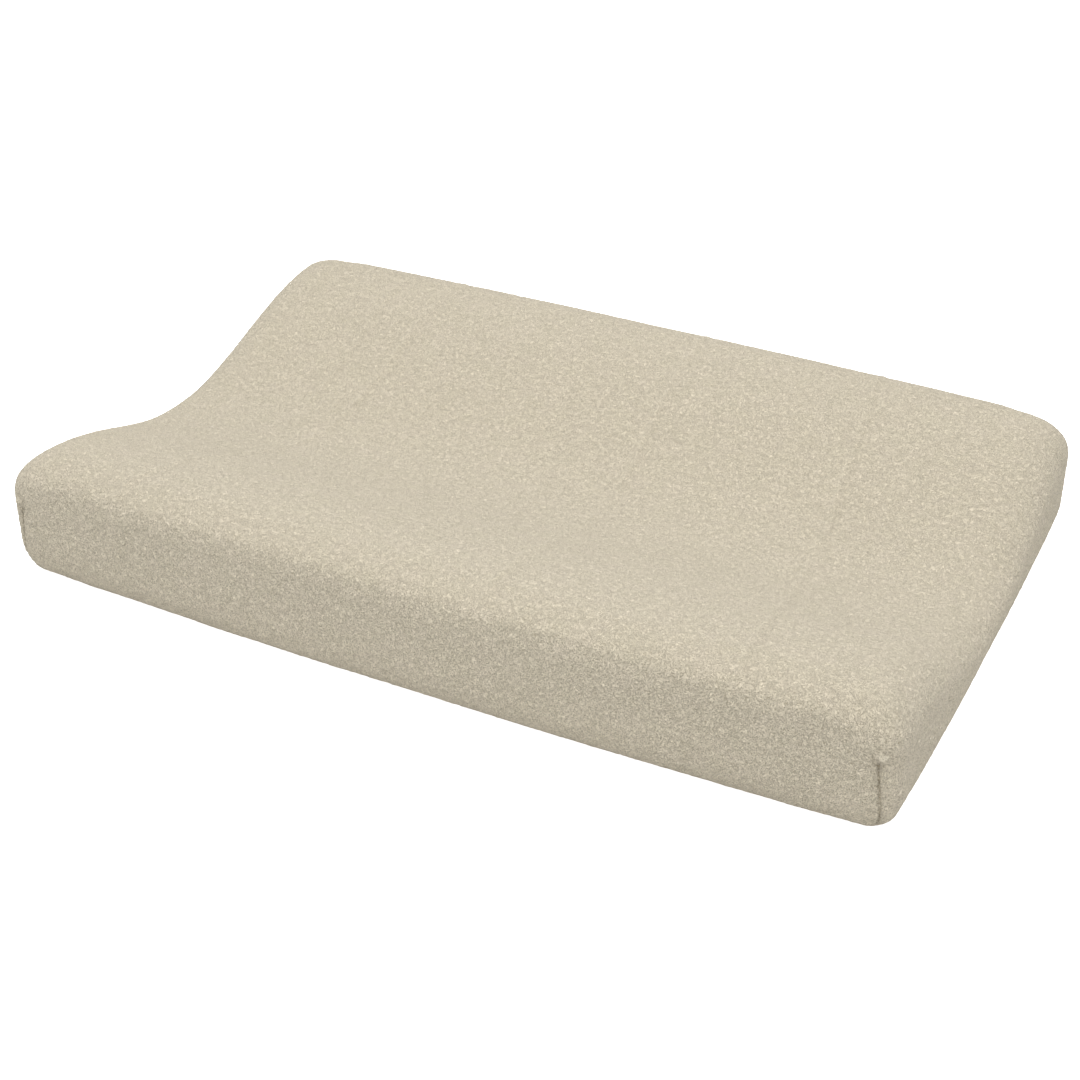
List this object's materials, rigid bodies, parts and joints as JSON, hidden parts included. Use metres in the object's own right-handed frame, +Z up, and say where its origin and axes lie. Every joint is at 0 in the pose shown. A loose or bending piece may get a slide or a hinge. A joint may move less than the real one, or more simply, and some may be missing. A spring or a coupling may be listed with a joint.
{
  "type": "changing pad",
  "caption": "Contoured foam changing pad with raised long sides, a zipped wipe-clean liner and a fitted sand-coloured terry cover.",
  "frame": {"origin": "centre of the pad's box, at the height of the surface it rests on", "axes": "+X along the pad's length, +Y to its rear long side, +Z up"},
  "size_m": [0.7, 0.445, 0.1],
  "materials": {
    "terry_sand": "matte",
    "thread_sand": "matte",
    "coated_white": "satin",
    "foam_cream": "matte",
    "elastic_white": "matte",
    "woven_white": "matte",
    "nylon_white": "satin",
    "nickel": "satin"
  },
  "bodies": {
    "pad": {"cover_shell": "terry_sand", "cover_seam_front_left": "thread_sand", "cover_seam_front_right": "thread_sand", "cover_seam_rear_left": "thread_sand", "cover_seam_rear_right": "thread_sand", "cover_elastic": "elastic_white", "care_label": "woven_white", "liner_top": "coated_white", "liner_bottom_front": "coated_white", "liner_bottom_rear": "coated_white", "liner_welt": "coated_white", "zip_garage_left": "coated_white", "zip_garage_right": "coated_white", "foam_core": "foam_cream", "zip_tape_front": "woven_white", "zip_tape_rear": "woven_white", "zip_coil_front": "nylon_white", "zip_coil_rear": "nylon_white", "zip_top_stop_front": "nickel", "zip_top_stop_rear": "nickel", "zip_bottom_stop": "nickel"},
    "slider": {"zip_slider": "nickel"},
    "pull": {"zip_pull": "nickel"}
  },
  "joints": [
    {"name": "zip_travel", "type": "slide", "parent": "pad", "child": "slider", "axis": [-1, 0, 0], "range_m": [0, 0.489]},
    {"name": "pull_turn", "type": "hinge", "parent": "slider", "child": "pull", "pos_m": [0.2445, 0, 0.0032], "axis": [0, -1, 0], "range_deg": [0, 180]}
  ]
}
